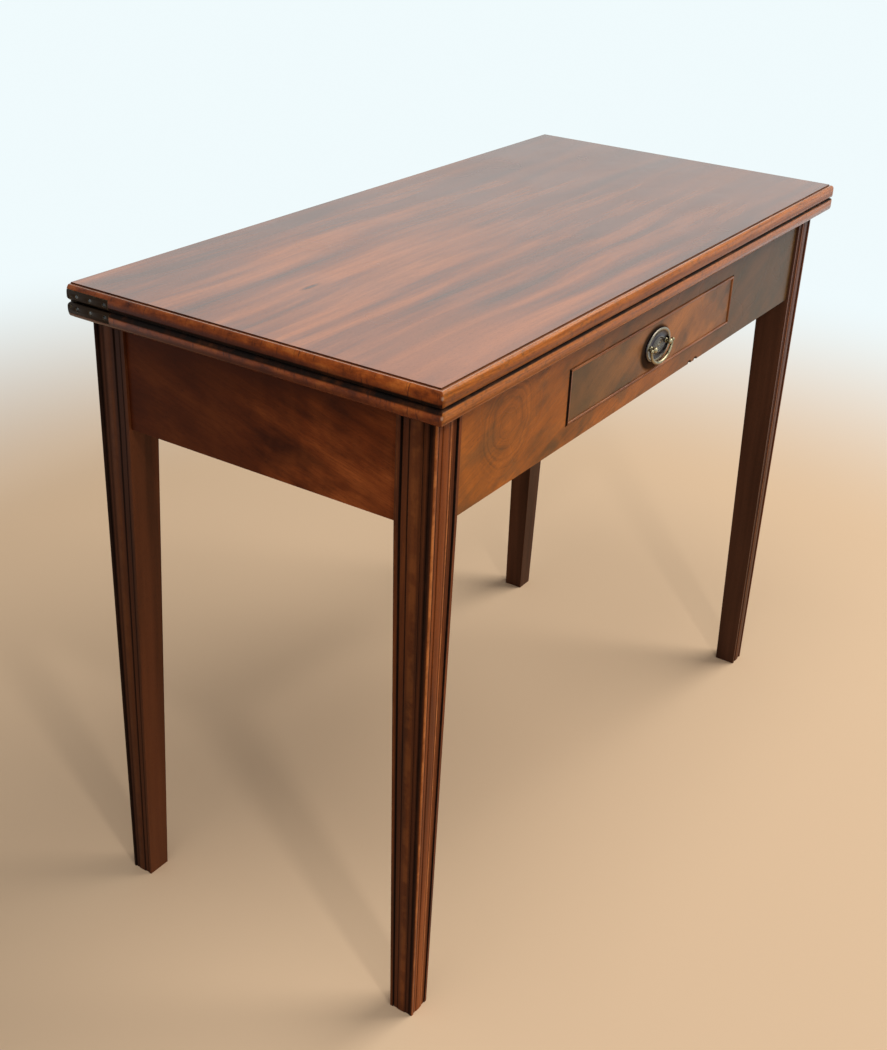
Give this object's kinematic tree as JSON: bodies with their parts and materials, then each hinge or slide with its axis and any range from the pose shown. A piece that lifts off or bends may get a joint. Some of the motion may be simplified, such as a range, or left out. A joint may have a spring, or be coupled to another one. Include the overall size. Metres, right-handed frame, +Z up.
{
  "type": "fold-over tea table",
  "caption": "Rectangular mahogany table whose hinged top leaf folds over onto a swinging rear leg, with a beaded frieze drawer and square tapered moulded legs.",
  "frame": {"origin": "on the floor under the middle of the top", "axes": "+X along the front to the right, +Y from the drawer front to the back, +Z up"},
  "size_m": [0.915, 0.43, 0.717],
  "materials": {
    "top": "waxed mahogany, soft sheen",
    "frieze": "polished figured mahogany",
    "legs": "dark polished mahogany",
    "secondary_wood": "unpolished oak",
    "handle_brass": "aged stamped brass",
    "hinge_metal": "dark patinated brass",
    "iron": "plain iron"
  },
  "bodies": {
    "frame": {"lower_leaf": "top", "lower_leaf_hinge_plate_left": "hinge_metal", "lower_leaf_hinge_plate_right": "hinge_metal", "lower_leaf_hinge_pin_left": "hinge_metal", "lower_leaf_hinge_pin_right": "hinge_metal", "front_leg_left": "legs", "front_leg_right": "legs", "rear_leg_right": "legs", "front_rail": "frieze", "end_rail_left": "frieze", "end_rail_right": "frieze", "inner_back_rail": "secondary_wood", "knuckle_rail_fixed": "secondary_wood", "drawer_runner_left": "secondary_wood", "drawer_runner_right": "secondary_wood", "drawer_kicker_left": "secondary_wood", "drawer_kicker_right": "secondary_wood", "drawer_guide_left": "secondary_wood", "drawer_guide_right": "secondary_wood", "drawer_stop_left": "secondary_wood", "drawer_stop_right": "secondary_wood", "glue_block_front_left": "secondary_wood", "glue_block_front_right": "secondary_wood", "glue_block_back_left": "secondary_wood", "glue_block_back_right": "secondary_wood", "glue_block_end_left": "secondary_wood", "glue_block_end_right": "secondary_wood", "knuckle_pin": "iron"},
    "drawer": {"drawer_front": "frieze", "drawer_side_left": "secondary_wood", "drawer_side_right": "secondary_wood", "drawer_back": "secondary_wood", "drawer_bottom": "secondary_wood", "drawer_bead_top": "frieze", "drawer_bead_bottom": "frieze", "drawer_bead_left": "frieze", "drawer_bead_right": "frieze", "handle_backplate": "handle_brass", "handle_post_left": "handle_brass", "handle_post_right": "handle_brass", "handle_nut_left": "iron", "handle_nut_right": "iron"},
    "handle_bail": {"bail": "handle_brass"},
    "hinge_links": {"hinge_link_left": "hinge_metal", "hinge_link_right": "hinge_metal"},
    "folding_leaf": {"upper_leaf": "top", "upper_leaf_hinge_plate_left": "hinge_metal", "upper_leaf_hinge_plate_right": "hinge_metal", "upper_leaf_hinge_pin_left": "hinge_metal", "upper_leaf_hinge_pin_right": "hinge_metal"},
    "gate": {"fly_rail": "secondary_wood", "fly_leg": "legs"}
  },
  "joints": [
    {"name": "drawer_slide", "type": "slide", "parent": "frame", "child": "drawer", "axis": [0, -1, 0], "range_m": [0, 0.25]},
    {"name": "bail_swing", "type": "hinge", "parent": "drawer", "child": "handle_bail", "pos_m": [0, -0.2002, 0.6235], "axis": [-1, 0, 0], "range_deg": [0, 150]},
    {"name": "link_turn", "type": "hinge", "parent": "frame", "child": "hinge_links", "pos_m": [0, 0.2105, 0.6951], "axis": [-1, 0, 0], "range_deg": [0, 90]},
    {"name": "leaf_turn", "type": "hinge", "parent": "hinge_links", "child": "folding_leaf", "pos_m": [0, 0.2105, 0.7044], "axis": [-1, 0, 0], "range_deg": [0, 90]},
    {"name": "gate_swing", "type": "hinge", "parent": "frame", "child": "gate", "pos_m": [0, 0.1885, 0.573], "axis": [0, 0, -1], "range_deg": [0, 90]}
  ],
  "couplings": [
    {"joint": "leaf_turn", "follows": "link_turn", "ratio": 1}
  ]
}
